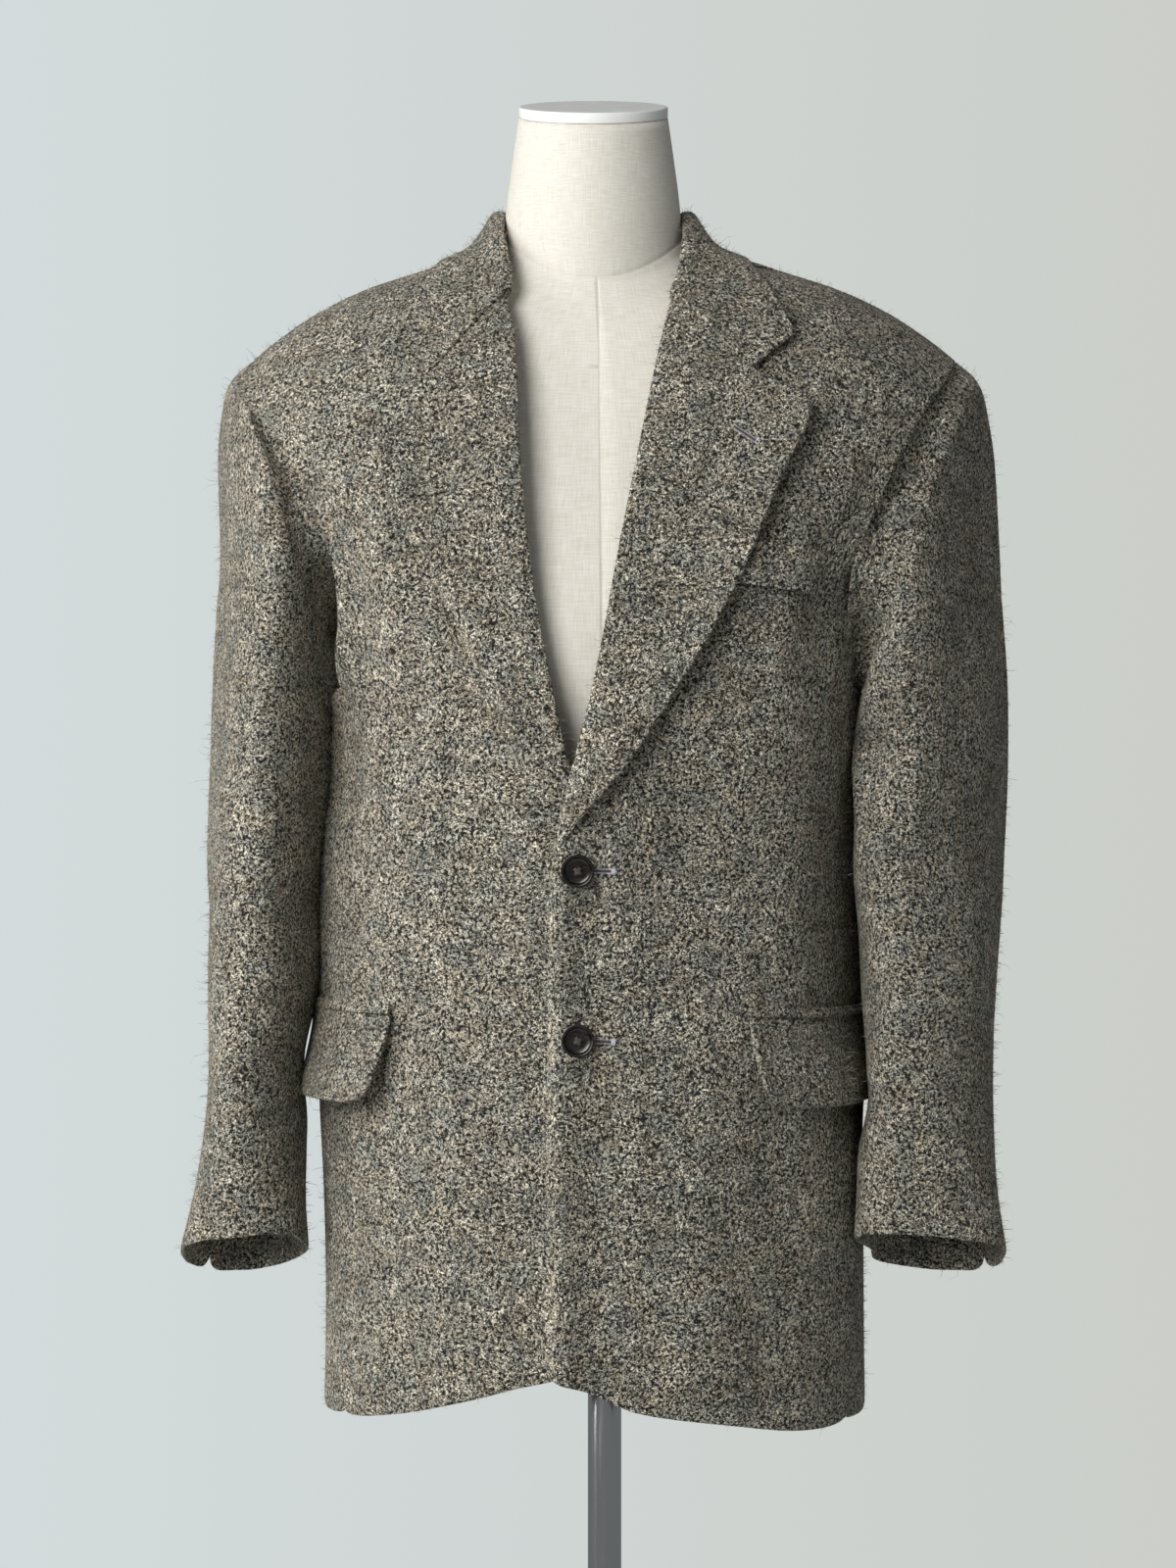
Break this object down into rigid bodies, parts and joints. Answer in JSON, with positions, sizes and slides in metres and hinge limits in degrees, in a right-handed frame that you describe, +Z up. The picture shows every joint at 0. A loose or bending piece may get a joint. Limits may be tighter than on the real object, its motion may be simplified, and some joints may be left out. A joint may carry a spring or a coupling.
{
  "type": "single breasted blazer on a limbless dress form with a pole stand",
  "caption": "Hip-length notch-lapel tweed blazer, buttoned and hollow, worn by a linen-covered limbless dress form on a chrome pole with a round base.",
  "frame": {"origin": "on the floor, on the axis of the stand's pole, at the middle of the base's underside", "axes": "+Z up along the pole; the wearer faces -Y; the wearer's left is +X"},
  "size_m": [0.5329, 0.34, 1.506],
  "materials": {
    "tweed": "nubby grey-brown mohair tweed with cream flecks, hairy",
    "horn": "dark brown-black horn, polished",
    "linen": "cream plain-woven linen, stretched smooth",
    "white_lacquer": "white lacquer, satin",
    "chrome": "polished"
  },
  "bodies": {
    "root": {"back_left": "tweed", "back_right": "tweed", "breast_welt": "tweed", "button_lower": "horn", "button_upper": "horn", "collar": "tweed", "cuff_button_left_1": "horn", "cuff_button_left_2": "horn", "cuff_button_left_3": "horn", "cuff_button_left_4": "horn", "cuff_button_right_1": "horn", "cuff_button_right_2": "horn", "cuff_button_right_3": "horn", "cuff_button_right_4": "horn", "flap_left": "tweed", "flap_right": "tweed", "form_neck": "linen", "form_plate": "chrome", "form_torso": "linen", "front_left": "tweed", "front_right": "tweed", "jet_left": "tweed", "jet_right": "tweed", "lapel_left": "tweed", "lapel_right": "tweed", "neck_cap": "white_lacquer", "pole_socket": "chrome", "side_left": "tweed", "side_right": "tweed", "sleeve_top_left": "tweed", "sleeve_top_right": "tweed", "sleeve_under_left": "tweed", "sleeve_under_right": "tweed", "stand_base": "chrome", "stand_pole": "chrome"}
  },
  "joints": []
}
